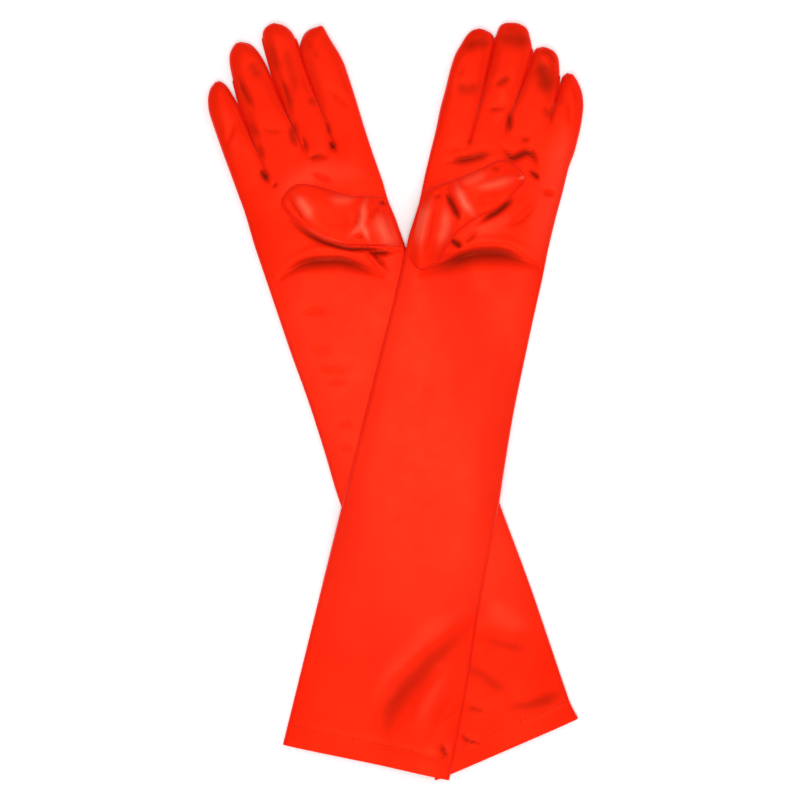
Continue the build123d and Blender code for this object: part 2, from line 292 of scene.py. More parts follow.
THUMB_FOLDS = {
    "right": [
        ([(43.5, 390), (40, 388)], -1.8, 1.5, 1.5, 0.9),
        ([(40, 388), (34, 385), (28.5, 380)], -0.9, 1.5, 1.5, 0.3),
        ([(34, 397), (29, 391), (23.7, 380), (11, 373.5)], 1.0, 2.6, 2.6, -0.85),
        ([(26, 388), (23.7, 380), (24.6, 365)], 1.0, 2.6, 2.6, -0.85),
        ([(19.8, 374), (18.6, 370)], -1.0, 2.0, 2.0, 0.3),
        ([(34, 386), (37, 370), (40, 352)], 1.2, 6.0, 6.0, -0.6),
        ([(-14, 415), (-11, 406), (-8, 392)], 0.8, 4.4, 4.4, -0.7),
        ([(27, 398), (16, 400), (6, 405)], 0.5, 3.8, 3.8, -0.35),
        ([(10, 369), (-6, 379.5), (-17, 393.5)], 0.4, 1.6, 1.6, -0.5),
        ([(18, 384), (6, 388), (-1, 398)], -1.0, 6.5, 6.5, 0.08),
        ([(-20, 414), (-17, 404), (-13, 393)], -0.6, 2.0, 2.0, 0.25),
    ],
    "left": [
        ([(29.5, 403), (25.4, 396), (19, 388), (14.4, 381)], -2.8, 2.0, 2.0, 1.0),
        ([(35, 399), (33.5, 394)], -0.9, 1.6, 1.6, 0.35),
        ([(38, 394), (40.5, 376), (39, 356)], 1.2, 4.5, 4.5, -0.7),
        ([(33, 392), (33.5, 374), (32, 356)], -0.7, 1.8, 1.8, 0.1),
        ([(28, 392), (24, 378), (26, 360)], 0.9, 4.0, 4.0, -0.6),
        ([(24.5, 409), (18, 400), (13, 394), (4, 387.5)], 1.1, 3.4, 3.4, -0.85),
        ([(12, 407), (-4, 413), (-19, 421.5)], 0.8, 4.2, 4.2, -0.42),
        ([(22, 408), (12, 413), (2, 421)], 0.4, 4.5, 4.5, -0.35),
        ([(8, 398), (-4, 403), (-14, 409)], -1.0, 4.6, 4.6, 0.12),
        ([(-20, 423), (-22, 420)], 0.8, 2.4, 2.4, -0.8),
        ([(3, 424.5), (-5, 423)], -0.5, 1.5, 1.5, 0.3),
    ],
}

GLOVES = (RIGHT, LEFT)

# The strip on each finger's thumb side and on its other side
FOURCHETTES = {
    "index": ("", "fourchette"),
    "middle": ("inner_fourchette", "outer_fourchette"),
    "ring": ("inner_fourchette", "outer_fourchette"),
    "little": ("fourchette", ""),
}

# The nodes that each finger's piece stands for
FINGER_NODES = {
    "index": ("palm", "back", "fold"),
    "middle": ("palm", "back"),
    "ring": ("palm", "back"),
    "little": ("palm", "back", "side_seam"),
}

# Lights: place and the size of their disk in metres, and power in watts
LIGHTS = {
    "key_light": ((-0.15, -0.8, 1.1), 0.6, 5.0),
    "top_light": ((0.05, 0.1, 1.7), 0.9, 8),
    "fill_light": ((0.9, 0.6, 0.8), 0.9, 2),
}
WORLD_STRENGTH = 0.6
CAMERA_PLACE = (0.0031, 0.001, 1.323)
CAMERA_LENS, CAMERA_SENSOR = 85, 36  # millimetres


# --------------------------------------------------------------------------------------
# Panel settings
# --------------------------------------------------------------------------------------


class GloveSizes(bpy.types.PropertyGroup):
    """How thick the cloth is and how the gloves lie."""

    cloth: bpy.props.FloatProperty(
        name="Cloth", description="Thickness of the satin", default=0.0004,
        unit="LENGTH", subtype="DISTANCE")
    sleeve_height: bpy.props.FloatProperty(
        name="Sleeve height", description="Height of the sleeve and hand, lying flat",
        default=0.0056, unit="LENGTH", subtype="DISTANCE")
    finger_height: bpy.props.FloatProperty(
        name="Finger height", description="Height of a finger, lying flat",
        default=0.0060, unit="LENGTH", subtype="DISTANCE")
    thumb_height: bpy.props.FloatProperty(
        name="Thumb height", description="Height of the thumb over the palm",
        default=0.0050, unit="LENGTH", subtype="DISTANCE")
    lift: bpy.props.FloatProperty(
        name="Lift", description="How far the right glove raises the left one",
        default=0.0062, unit="LENGTH", subtype="DISTANCE")
    hem: bpy.props.FloatProperty(
        name="Hem", description="Depth of the turned hem", default=0.0145,
        unit="LENGTH", subtype="DISTANCE")
    stitch: bpy.props.FloatProperty(
        name="Stitch", description="Length of one stitch", default=0.0024,
        unit="LENGTH", subtype="DISTANCE")


class GloveColours(bpy.types.PropertyGroup):
    """Colours of the cloth, the thread and the studio, as hex codes."""

    satin: bpy.props.StringProperty(
        name="Satin", description="The cloth where it catches light", default="FC260A")
    satin_deep: bpy.props.StringProperty(
        name="Deep satin", description="The cloth's darker patches", default="EC1602")
    # the colour of the painted shade in the folds
    fold: bpy.props.StringProperty(
        name="Fold", description="The cloth deep in a fold", default="380300")
    # the colour of the painted highlight on ridges
    painted_highlight: bpy.props.StringProperty(
        name="Taut satin", description="The cloth pulled taut over a ridge", default="FF6248")
    # a deeper copy of the satin for the strips between the fingers: painted shade
    strip_painted_shade: bpy.props.StringProperty(
        name="Deep strip", description="Darker patches of the strips between the fingers",
        default="D01508")
    hem: bpy.props.StringProperty(
        name="Hem", description="The turned hem", default="D81A0A")
    hem_deep: bpy.props.StringProperty(
        name="Deep hem", description="Darker patches of the turned hem", default="C81206")
    thread: bpy.props.StringProperty(
        name="Thread", description="The sewing thread", default="D91408")
    # the raised plies painted lighter: a painted highlight
    thread_painted_highlight: bpy.props.StringProperty(
        name="Light thread", description="The raised plies of the thread", default="F2341F")
    floor: bpy.props.StringProperty(
        name="Floor", description="The studio floor", default="FAFAFA")


# --------------------------------------------------------------------------------------
# Curves and distances
# --------------------------------------------------------------------------------------


def smooth(x, low=0.0, high=1.0):
    """0 below low, 1 above high and a soft step between them."""
    t = np.clip((np.asarray(x, float) - low) / (high - low), 0, 1)
    return t * t * (3 - 2 * t)


def quarter_round(gap, reach):
    """Rise of a quarter circle: 0 on the edge, 1 from reach inwards."""
    return np.sqrt(1 - (1 - np.clip(gap / reach, 0, 1)) ** 2)


def edge(points, at):
    """A monotone cubic curve through (v, r) points, read at v."""
    knots = np.array(points, float)
    x, y = knots[:, 0], knots[:, 1]
    step = np.diff(x)
    rise = np.diff(y) / step
    slope = np.zeros(len(x))
    slope[0], slope[-1] = rise[0], rise[-1]
    for i in range(1, len(x) - 1):
        if rise[i - 1] * rise[i] > 0:
            near, far = 2 * step[i] + step[i - 1], step[i] + 2 * step[i - 1]
            slope[i] = (near + far) / (near / rise[i - 1] + far / rise[i])
    at = np.clip(at, x[0], x[-1])
    i = np.clip(np.searchsorted(x, at, side="right") - 1, 0, len(x) - 2)
    t = (at - x[i]) / step[i]
    a = (1 + 2 * t) * (1 - t) ** 2
    b = t * (1 - t) ** 2
    c = t * t * (3 - 2 * t)
    d = t * t * (t - 1)
    return a * y[i] + b * step[i] * slope[i] + c * y[i + 1] + d * step[i] * slope[i + 1]


def curve(points, spacing=1.0):
    """A smooth line through the points, sampled evenly."""
    p = np.array(points, float)
    if len(p) > 2:
        full = np.vstack([2 * p[0] - p[1], p, 2 * p[-1] - p[-2]])
        dense = []
        for a, b, c, d in zip(full, full[1:], full[2:], full[3:]):
            for t in np.linspace(0, 1, 16, endpoint=False):
                dense.append(0.5 * (2 * b + (c - a) * t + (2 * a - 5 * b + 4 * c - d) * t * t
                                    + (3 * b - a - 3 * c + d) * t ** 3))
        p = np.array(dense + [p[-1]])
    run = run_along(p)
    at = np.linspace(0, run[-1], max(int(run[-1] / spacing), 2) + 1)
    return np.column_stack([np.interp(at, run, p[:, k]) for k in range(p.shape[1])])


def run_along(path):
    """How far along a path of points each one lies."""
    return np.concatenate([[0], np.cumsum(np.linalg.norm(np.diff(path, axis=0), axis=1))])


def nearest(points, line):
    """Distance to a line of points, the share along it, and the side it lies on."""
    a, b = line[:-1], line[1:]
    step = b - a
    long = np.maximum((step ** 2).sum(1), 1e-12)
    best, share, side = np.zeros((3, len(points)))
    chunk = 4000
    for start in range(0, len(points), chunk):
        span = slice(start, start + chunk)
        p = points[span, None, :]
        t = np.clip(((p - a) * step).sum(2) / long, 0, 1)
        gap = p - (a + t[..., None] * step)
        far = np.sqrt((gap ** 2).sum(2))
        k = far.argmin(1)
        row = np.arange(len(k))
        best[span] = far[row, k]
        share[span] = (k + t[row, k]) / len(a)
        side[span] = np.sign(step[k, 0] * gap[row, k, 1] - step[k, 1] * gap[row, k, 0])
    return best, share, side


def edges_of(glove):
    """The glove's edges: each a line of points, with the finger seam it belongs to or None."""
    # points 3 mm apart along the arm, and closer and closer towards a fingertip
    arm = np.arange(-8, SPLIT, 3.0)
    sides = [(None, np.column_stack([edge(glove[side], arm), arm]))
             for side in ("thumb_edge", "little_edge")]
    for k, (thumb_side, little_side) in enumerate(glove["fingers"].values()):
        tip = thumb_side[-1][0]
        rows = tip - (tip - SPLIT) * (np.linspace(1, 0, 70) ** 1.6)
        over_tip = [[(thumb_side[-1][1] + little_side[-1][1]) / 2, tip]]
        for line, seam in ((thumb_side, k - 1), (little_side, k)):
            inner = 0 <= seam < len(glove["seam_ends"])
            run = rows[rows >= glove["seam_ends"][seam]] if inner else rows
            points = np.column_stack([edge(line, run), run])
            sides.append((seam if inner else None, np.vstack([points, over_tip])))
    return sides


def fold_field(r, v, folds):
    """Height, painted shade and painted highlight that the folds give at each point."""
    points = np.column_stack([r, v])
    # height, the folds' painted shade, and in light the ridges' painted highlight
    rise, painted_light, light = np.zeros((3, len(r)))
    for spine, height, lower, upper, shade in folds:
        line = curve(spine)
        reach = 3 * max(lower, upper)
        near = np.all((points > line.min(0) - reach) & (points < line.max(0) + reach), axis=1)
        if not near.any():
            continue
        gap, share, side = nearest(points[near], line)
        width = np.where(side * np.sign(line[-1, 0] - line[0, 0] + 1e-9) < 0, lower, upper)
        # a fold thins and fades towards both ends
        ends = smooth(share, 0, 0.36) * (1 - smooth(share, 0.64, 1))
        width = width * (0.55 + 0.45 * ends)
        bump = np.exp(-((gap / width) ** 2)) * smooth(1 - gap / reach, 0, 0.3)
        rise[near] += height * (0.2 + 0.8 * ends) * bump
        tint = (0.12 + 0.88 * ends) * np.exp(-((gap / (0.85 * width)) ** 2))
        painted_light[near] = np.maximum(painted_light[near], shade * tint)
        light[near] = np.maximum(light[near], -shade * tint)
    return rise, painted_light - light


def ripple(r, v, seed):
    """Gentle unevenness of cloth lying on a table, mostly between -1 and 1."""
    rng = np.random.default_rng(seed)
    total = np.zeros(len(r))
    for length, share in ((95, 0.35), (60, 0.3), (38, 0.2), (24, 0.1), (15, 0.05)):
        for _ in range(3):
            turn, phase = rng.uniform(0, math.pi), rng.uniform(0, 2 * math.pi)
            total += share / 3 * np.sin(
                2 * math.pi * (r * math.cos(turn) + 0.6 * v * math.sin(turn)) / length + phase)
    return total * 1.6


# --------------------------------------------------------------------------------------
# Fields of points and their faces
# --------------------------------------------------------------------------------------


def grid_quads(rows, cols, flip=False):
    """The four-sided faces of a rectangular field of points, turned over by flip."""
    index = np.arange(rows * cols).reshape(rows, cols)
    quads = np.stack([index[:-1, :-1], index[:-1, 1:], index[1:, 1:], index[1:, :-1]], axis=-1)
    return quads.reshape(-1, 4)[:, ::-1 if flip else 1]


def shared(points):
    """The first index of each distinct point, and which distinct point each one is."""
    _, first, same = np.unique(np.round(points / SAME_POINT).astype(np.int64), axis=0,
                               return_index=True, return_inverse=True)
    return first, same.ravel()


def face_turns(points, quads):
    """Each face's outward direction, as long as twice its area."""
    a, b, c, d = (points[quads[:, corner]] for corner in range(4))
    return np.cross(c - a, d - b)


def smooth_normals(points, quads, same):
    """Unit normals of the points; those with one number in same are taken as one point."""
    turn = face_turns(points, quads)
    summed = np.zeros((same.max() + 1, 3))
    for corner in range(4):
        np.add.at(summed, same[quads[:, corner]], turn)
    summed /= np.maximum(np.linalg.norm(summed, axis=1, keepdims=True), 1e-15)
    return summed[same]


# --------------------------------------------------------------------------------------
# The cloth of one glove
# --------------------------------------------------------------------------------------


class Cloth:
    """The outer surface of one glove, as sheets of points that share their borders."""

    def __init__(self, glove, sizes):
        self.glove = glove
        self.sizes = sizes
        joint = {j["name"]: j for j in frame["joints"]}
        wrist = joint[f"{glove['name']}_wrist_fold"]
        self.across = np.array(wrist["axis"], float)
        self.along = np.cross([0, 0, 1], self.across)
        self.origin = np.array(wrist["pos_m"], float) / MM - self.along * glove["wrist"]
        self.origin[2] = 0
        under = joint["right_wrist_fold"]
        self.under_axis = np.array(under["axis"], float)
        self.under_at = np.array(under["pos_m"], float) / MM
        self.edges = edges_of(glove)
        self.parts = {}
        self.build()

    def place(self, r, v, z):
        """Points of the flat frame, in metres of the shared frame."""
        flat = (self.origin + np.outer(self.glove["side"] * r, self.across)
                + np.outer(v, self.along))
        raised = z + self.lift_at(flat, v)
        return np.column_stack([flat[:, 0], flat[:, 1], raised]) * MM

    def spot(self, r, v):
        """One point in the middle of the cloth, in metres of the shared frame."""
        return tuple(self.place(np.array([r]), np.array([v]), np.array([BEND_HEIGHT]))[0])

    def lift_at(self, flat, v):
        """How far the glove underneath raises this one at points of the floor."""
        if not self.glove["lifted"]:
            return np.zeros(len(flat))
        off = np.abs((flat - self.under_at) @ self.under_axis)
        # near the lower glove's middle line the cloth lies on it, and further out it sinks
        # to the floor: slowly along the sleeve, later and more steeply at the hand
        hand = smooth(v, 290, 360)
        on_top, on_floor = 32 + 15 * hand, 98 - 10 * hand
        return self.sizes.lift / MM * (1 - smooth(off, on_top, on_floor))

    def height(self, r, v):
        """Upper and lower height of the cloth and its painted shade and painted highlight."""
        points = np.column_stack([r, v])
        finger = smooth(v, 405, 455)
        top = (1 - finger) * self.sizes.sleeve_height / MM + finger * self.sizes.finger_height / MM
        round_over = ARM_ROUND * (1 - finger) + FINGER_ROUND * finger
        # this share of the rise is done close to the edge, the rest over the whole rounding
        share = 0.45 + 0.05 * finger
        form, under, gap = np.ones(len(r)), np.ones(len(r)), np.full(len(r), 1e9)
        for seam, line in self.edges:
            far, _, _ = nearest(points, line)
            # along a finger seam the two faces stand apart, by the depth of the strip between
            deep = 1.0
            if seam is not None:
                base, opening = self.glove["seam_ends"][seam], self.glove["openings"][seam]
                deep = 0.42 + 0.58 * smooth(v, base + 12, opening)
            wide = 1 - (1 - np.clip(far / round_over, 0, 1)) ** 2.2
            tight = quarter_round(far, 2.6)
            form = np.minimum(form, 1 - deep * (1 - share * tight - (1 - share) * wide))
            under = np.minimum(under, 1 - deep * (1 - quarter_round(far, 2.4)))
            gap = np.minimum(gap, far + 4 * (1 - deep))
        rise, painted_light = fold_field(r, v, FOLDS[self.glove["name"]])
        uneven = ripple(r, v, self.glove["seed"])
        upper = MID_HEIGHT + (top - MID_HEIGHT) * form + UNEVEN * uneven * smooth(gap, 2, 14)
        upper = upper + rise * smooth(gap, 0.5, 4)
        hem = np.exp(-(((v - self.hem_line(r)) / HEM_GROOVE_WIDTH) ** 2))
        upper = upper - HEM_GROOVE * hem * smooth(gap, 0.4, 2)
        lower = MID_HEIGHT - (MID_HEIGHT - FLOOR_GAP) * under
        upper = np.maximum(upper, lower + 0.9 * smooth(gap, 0, 1.2))
        # painted shade on the fingers and a painted sheen along the middle of the sleeve, so that the
        # fingers and the hemmed cuff look a deeper red than the sleeve
        painted_light_level = 0.05 * smooth(v, 425, 475) - 0.07 * smooth(v, 30, 150) * (1 - smooth(v, 300, 400))
        return upper, lower, painted_light * smooth(gap, 0, 1.5) + painted_light_level

    def hem_line(self, r):
        """Where the hem's stitching runs."""
        near, far = self.glove["thumb_edge"][0], self.glove["little_edge"][0]
        slant = far[0] + (near[0] - far[0]) * (r - far[1]) / (near[1] - far[1])
        return slant + self.sizes.hem / MM

    def grid(self, r, v):
        """Both faces of a rectangular field of points: a dictionary of arrays."""
        upper, lower, painted_light = (field.reshape(r.shape) for field in self.height(r.ravel(), v.ravel()))
        return {"r": r, "v": v, "upper": upper, "lower": lower, "painted_light": painted_light}

    def build(self):
        """Compute the trank and the fingers."""
        columns = self.root_columns()
        self.parts["trank"] = self.trank(columns)
        start = 0
        for k, (name, count) in enumerate(zip(self.glove["fingers"], FINGER_COLUMNS)):
            self.parts[name] = self.finger(k, name, columns[start:start + count + 1])
            start += count
        self.weld()

    def root_columns(self):
        """Where the mesh's columns cross the line on which the finger pieces begin."""
        roots = self.glove["roots"]
        columns = [roots[0]]
        for count, near, far in zip(FINGER_COLUMNS, roots, roots[1:]):
            t = np.linspace(0, 1, count + 1)[1:]
            # closer together towards the seams
            eased = 0.55 * t + 0.45 * (0.5 - 0.5 * np.cos(math.pi * t))
            columns.extend(near + (far - near) * eased)
        return np.array(columns)

    def trank(self, columns):
        """The sleeve and the hand, from the cuff to the line where the finger pieces begin."""
        glove = self.glove
        first, last = glove["roots"][0], glove["roots"][-1]
        # columns as shares of the width, from 1 on the thumb side to -1 on the other
        hand_t = (columns - (first + last) / 2) / ((first - last) / 2)
        even = np.linspace(1, -1, len(columns))
        sleeve_t = 0.5 * even + 0.5 * np.sin(even * math.pi / 2)
        hem = self.sizes.hem / MM
        rows = np.concatenate([np.linspace(0, hem, HEM_ROWS + 1)[:-1],
                               np.linspace(hem, HAND_START, SLEEVE_ROWS)[:-1],
                               np.linspace(HAND_START, SPLIT, HAND_ROWS)])
        near, far = glove["thumb_edge"][0][0], glove["little_edge"][0][0]
        share = smooth(rows, HAND_START, SPLIT)[:, None]
        t = (1 - share) * sleeve_t + share * hand_t
        slant = far + (near - far) * (t + 1) / 2
        v = rows[:, None] + slant * (1 - smooth(rows, 0, CUFF_SLANT))[:, None]
        v[-1] = SPLIT
        thumb_side = edge(glove["thumb_edge"], v[:, 0])[:, None]
        little_side = edge(glove["little_edge"], v[:, -1])[:, None]
        r = (thumb_side + little_side) / 2 + (thumb_side - little_side) / 2 * t
        r[-1] = columns
        return self.grid(r, v)

    def finger(self, k, name, columns):
        """The finger number k, with the columns of its strips and the rows they run over."""
        outer, inner = self.glove["fingers"][name]
        tip = outer[-1][0]
        rows = SPLIT + (tip - SPLIT) * (1 - (1 - np.linspace(0, 1, FINGER_ROWS)) ** 1.7)
        rows[0] = SPLIT
        local = (columns - columns[-1]) / (columns[0] - columns[-1])
        a, b = edge(outer, rows)[:, None], edge(inner, rows)[:, None]
        r = b + (a - b) * local
        r[0] = columns
        sheet = self.grid(r, np.repeat(rows[:, None], len(columns), axis=1))
        sheet["strips"] = {}
        for column, seam in ((0, k - 1), (len(columns) - 1, k)):
            if 0 <= seam < len(self.glove["seam_ends"]):
                base = self.glove["seam_ends"][seam]
                room = smooth(rows, base, base + 22) * (1 - smooth(rows, tip - 10, tip))
                sheet["upper"][:, column] += STRIP_RISE * room
                sheet["strips"][column] = rows >= base
        return sheet

    def weld(self):
        """World points and smooth outward normals that run over every sewn border."""
        spans, total = [], 0
        for part in self.parts.values():
            part["quads"] = grid_quads(*part["r"].shape, flip=self.glove["side"] > 0)
            for face, level, order in (("top", "upper", 1), ("bottom", "lower", -1)):
                part[face] = self.place(part["r"].ravel(), part["v"].ravel(), part[level].ravel())
                spans.append((part, face, part["quads"][:, ::order] + total, total))
                total += len(part[face])
        points = np.vstack([part[face] for part, face, _, _ in spans])
        quads = np.vstack([quads for _, _, quads, _ in spans])
        normals = smooth_normals(points, quads, shared(points)[1])
        for part, face, _, start in spans:
            part[face + "_normal"] = normals[start:start + len(part[face])]

    def cuff_rows(self, face):
        """The trank's points and normals on one face, in rows from the cuff."""
        part = self.parts["trank"]
        shape = (*part["r"].shape, 3)
        return part[face].reshape(shape), part[face + "_normal"].reshape(shape)


CLOTHS = {}


def cloth_of(name):
    """The computed cloth of the right or left glove, worked out once."""
    if name not in CLOTHS:
        glove = RIGHT if name == "right" else LEFT
        CLOTHS[name] = Cloth(glove, bpy.context.scene.glove_sizes)
    return CLOTHS[name]


# --------------------------------------------------------------------------------------
# Mesh helpers
# --------------------------------------------------------------------------------------


def add_mesh(name, points, faces, normals, painted_light, material):
    """A new object whose mesh has these points, faces, normals, and painted shade and highlight in its
    fold attribute.
    """
    mesh = bpy.data.meshes.new(name)
    mesh.from_pydata(points.tolist(), [], faces)
    mesh.update()
    mesh.polygons.foreach_set("use_smooth", np.ones(len(mesh.polygons), dtype=bool))
    mesh.normals_split_custom_set_from_vertices(normals.tolist())
    attribute = mesh.attributes.new("fold", "FLOAT", "POINT")
    attribute.data.foreach_set("value", np.asarray(painted_light, np.float32))
    mesh.materials.append(material)
    made = bpy.data.objects.new(name, mesh)
    bpy.context.collection.objects.link(made)
    return made


def shell(name, sheets, thickness, material):
    """A closed shell of cloth: outer sheets, the same sheets set in, and their rims."""
    starts = np.cumsum([0] + [len(sheet[0]) for sheet in sheets])
    points, normals, painted_lights = (
        np.concatenate([sheet[k] for sheet in sheets]) for k in range(3))
    quads = np.vstack([sheet[3] + start for sheet, start in zip(sheets, starts)])
    first, same = shared(points)
    points, normals, painted_lights = points[first], normals[first], painted_lights[first]
    faces = same[quads].tolist()
    count = len(points)
    # an edge that no second face shares is a rim
    rims = {}
    for face in faces:
        for a, b in zip(face, face[1:] + face[:1]):
            if a != b and rims.pop((b, a), None) is None:
                rims[(a, b)] = (b, a, a + count, b + count)
    outer, inner = [], []
    for face in faces:
        corners = [c for k, c in enumerate(face) if c != face[k - 1]]
        if len(set(corners)) >= 3:
            outer.append(corners)
            inner.append([c + count for c in reversed(corners)])
    return add_mesh(name, np.vstack([points, points - normals * thickness]),
                    outer + inner + list(rims.values()), np.vstack([normals, -normals]),
                    np.concatenate([painted_lights, painted_lights]), material)


def both_faces(part):
    """The upper and lower sheet of one sewn part, ready for a shell."""
    painted_light = part["painted_light"].ravel()
    return [
        (part["top"], part["top_normal"], painted_light, part["quads"]),
        (part["bottom"], part["bottom_normal"], 0 * painted_light, part["quads"][:, ::-1]),
    ]


def stitches(name, path, outward, length, material):
    """A row of separate thread stitches along a path of points on the cloth."""
    run = run_along(path)
    points, normals, faces = [], [], []
    # each ring of a stitch: share of its length, of its girth, and height in girths
    rings = ((0, 0.15, -0.5), (0.15, 0.8, 0.2), (0.5, 1, 0.55), (0.85, 0.8, 0.2), (1, 0.15, -0.5))
    turns = [2 * math.pi * k / THREAD_SIDES for k in range(THREAD_SIDES)]
    at = STITCH_PITCH
    while at + length < run[-1]:
        (a, up), (b, up_b) = (
            [np.array([np.interp(s, run, field[:, k]) for k in range(3)])
             for field in (path, outward)] for s in (at, at + length))
        along = (b - a) / np.linalg.norm(b - a)
        up = (up + up_b) / np.linalg.norm(up + up_b)
        across = np.cross(along, up)
        base = len(points)
        for share, girth, sink in rings:
            centre = a + (b - a) * share + up * THREAD * sink
            for turn in turns:
                normal = across * math.cos(turn) + up * math.sin(turn)
                points.append(centre + normal * THREAD / 2 * girth)
                normals.append(normal)
        last = base + THREAD_SIDES * (len(rings) - 1)
        for row in range(base, last, THREAD_SIDES):
            for k in range(THREAD_SIDES):
                one, two = row + k, row + (k + 1) % THREAD_SIDES
                faces.append((one, two, two + THREAD_SIDES, one + THREAD_SIDES))
        faces.append(tuple(base + k for k in reversed(range(THREAD_SIDES))))
        faces.append(tuple(last + k for k in range(THREAD_SIDES)))
        at += STITCH_PITCH
    return add_mesh(name, np.array(points), faces, np.array(normals), np.zeros(len(points)), material)


# --------------------------------------------------------------------------------------
# Materials
# --------------------------------------------------------------------------------------


def linear(code):
    """An sRGB hex code as a linear colour."""
    parts = [int(code[k:k + 2], 16) / 255 for k in (0, 2, 4)]
    return [c / 12.92 if c <= 0.04045 else ((c + 0.055) / 1.055) ** 2.4 for c in parts] + [1.0]


def node(tree, kind, links=None, **settings):
    """Add one node with its settings, and link or set its inputs."""
    made = tree.nodes.new(kind)
    for key, value in settings.items():
        setattr(made, key, value)
    for socket, value in (links or {}).items():
        if hasattr(value, "is_output"):
            tree.links.new(value, made.inputs[socket])
        else:
            made.inputs[socket].default_value = value
    return made


def new_material(name):
    """An empty material, its node tree, and the place on the piece in metres."""
    material = bpy.data.materials.new(name)
    material.use_nodes = True
    tree = material.node_tree
    tree.nodes.clear()
    return material, tree, node(tree, "ShaderNodeTexCoord").outputs["Object"]


def satin(name, light, deep, weave=1.0):
    """Polyester satin: a broad soft sheen, fine floats of thread, faint creasing."""
    colours = bpy.context.scene.glove_colours
    material, tree, place = new_material(name)
    # patches of the cloth that lie a little differently to the light, 40 mm across
    patches = node(tree, "ShaderNodeTexNoise",
                   {"Vector": place, "Scale": 25.0, "Detail": 2.0, "Roughness": 0.45})
    tone = node(tree, "ShaderNodeMix", {"Factor": patches.outputs["Fac"], "A": linear(deep),
                                        "B": linear(light)}, data_type="RGBA")
    # painted shade: cloth in a fold is mixed towards the fold colour, for the little light it gets there
    painted_light_value = node(tree, "ShaderNodeAttribute", attribute_name="fold")
    painted_light_level = node(tree, "ShaderNodeMath", {0: painted_light_value.outputs["Fac"], 1: 0.92},
                 operation="MULTIPLY", use_clamp=True)
    shaded = node(tree, "ShaderNodeMix", {"Factor": painted_light_level.outputs[0], "A": tone.outputs["Result"],
                                          "B": linear(colours.fold)}, data_type="RGBA")
    # painted highlight: cloth over a ridge is mixed towards a pale red, for the sheen it catches
    painted_highlight = node(tree, "ShaderNodeMath", {0: painted_light_value.outputs["Fac"], 1: -0.9},
                operation="MULTIPLY", use_clamp=True)
    colour = node(tree, "ShaderNodeMix", {"Factor": painted_highlight.outputs[0], "A": shaded.outputs["Result"],
                                          "B": linear(colours.painted_highlight)}, data_type="RGBA")
    # the floats of the weave run along the arm: 0.25 mm wide and 2 mm long
    turned = node(tree, "ShaderNodeMapping", {"Vector": place, "Scale": (4000.0, 500.0, 4000.0)})
    floats = node(tree, "ShaderNodeTexNoise",
                  {"Vector": turned.outputs["Vector"], "Scale": 1.0, "Detail": 1.0})
    # soft creasing left from the packet, about 12 mm across
    creased = node(tree, "ShaderNodeTexNoise",
                   {"Vector": place, "Scale": 80.0, "Detail": 3.0, "Roughness": 0.5,
                    "Distortion": 0.6})
    crease_bump = node(tree, "ShaderNodeBump", {"Strength": 0.10, "Distance": 0.0016,
                                                "Height": creased.outputs["Fac"]})
    weave_bump = node(tree, "ShaderNodeBump", {"Strength": 0.12 * weave, "Distance": 0.00008,
                                               "Height": floats.outputs["Fac"],
                                               "Normal": crease_bump.outputs["Normal"]})
    rough = node(tree, "ShaderNodeMapRange",
                 {"Value": creased.outputs["Fac"], "From Min": 0.3, "From Max": 0.7,
                  "To Min": 0.34, "To Max": 0.44})
    # the dyed floats throw back red light, and stray fibres add a soft red edge
    surface = node(tree, "ShaderNodeBsdfPrincipled",
                   {"Base Color": colour.outputs["Result"], "Roughness": rough.outputs["Result"],
                    "Normal": weave_bump.outputs["Normal"], "IOR": 1.5, "Metallic": 0.28,
                    "Specular IOR Level": 0.5, "Specular Tint": (1.0, 0.15, 0.06, 1.0),
                    "Anisotropic": 0.35, "Sheen Weight": 0.45, "Sheen Roughness": 0.3,
                    "Sheen Tint": (1.0, 0.16, 0.12, 1.0)})
    node(tree, "ShaderNodeOutputMaterial", {"Surface": surface.outputs["BSDF"]})
    return material


def thread(name):
    """Glossy polyester sewing thread with its twist."""
    colours = bpy.context.scene.glove_colours
    material, tree, place = new_material(name)
    # the twist of the plies, 0.4 mm apart, the raised ones painted lighter as a painted highlight
    twist = node(tree, "ShaderNodeTexWave",
                 {"Vector": place, "Scale": 800.0, "Distortion": 1.0}, wave_type="BANDS",
                 bands_direction="DIAGONAL")
    tone = node(tree, "ShaderNodeMix", {"Factor": twist.outputs["Fac"], "A": linear(colours.thread),
                                        "B": linear(colours.thread_painted_highlight)}, data_type="RGBA")
    bump = node(tree, "ShaderNodeBump", {"Strength": 0.4, "Distance": 0.00005,
                                         "Height": twist.outputs["Fac"]})
    surface = node(tree, "ShaderNodeBsdfPrincipled",
                   {"Base Color": tone.outputs["Result"], "Roughness": 0.42, "IOR": 1.5,
                    "Normal": bump.outputs["Normal"], "Sheen Weight": 0.2})
    node(tree, "ShaderNodeOutputMaterial", {"Surface": surface.outputs["BSDF"]})
    return material


def board(name):
    """Smooth matt board, faintly uneven."""
    material, tree, place = new_material(name)
    grain = node(tree, "ShaderNodeTexNoise", {"Vector": place, "Scale": 300.0, "Detail": 2.0})
    tone = node(tree, "ShaderNodeMix", {"Factor": grain.outputs["Fac"],
                                        "A": linear(bpy.context.scene.glove_colours.floor),
                                        "B": linear("FFFFFF")}, data_type="RGBA")
    surface = node(tree, "ShaderNodeBsdfPrincipled",
                   {"Base Color": tone.outputs["Result"], "Roughness": 0.9})
    node(tree, "ShaderNodeOutputMaterial", {"Surface": surface.outputs["BSDF"]})
    return material


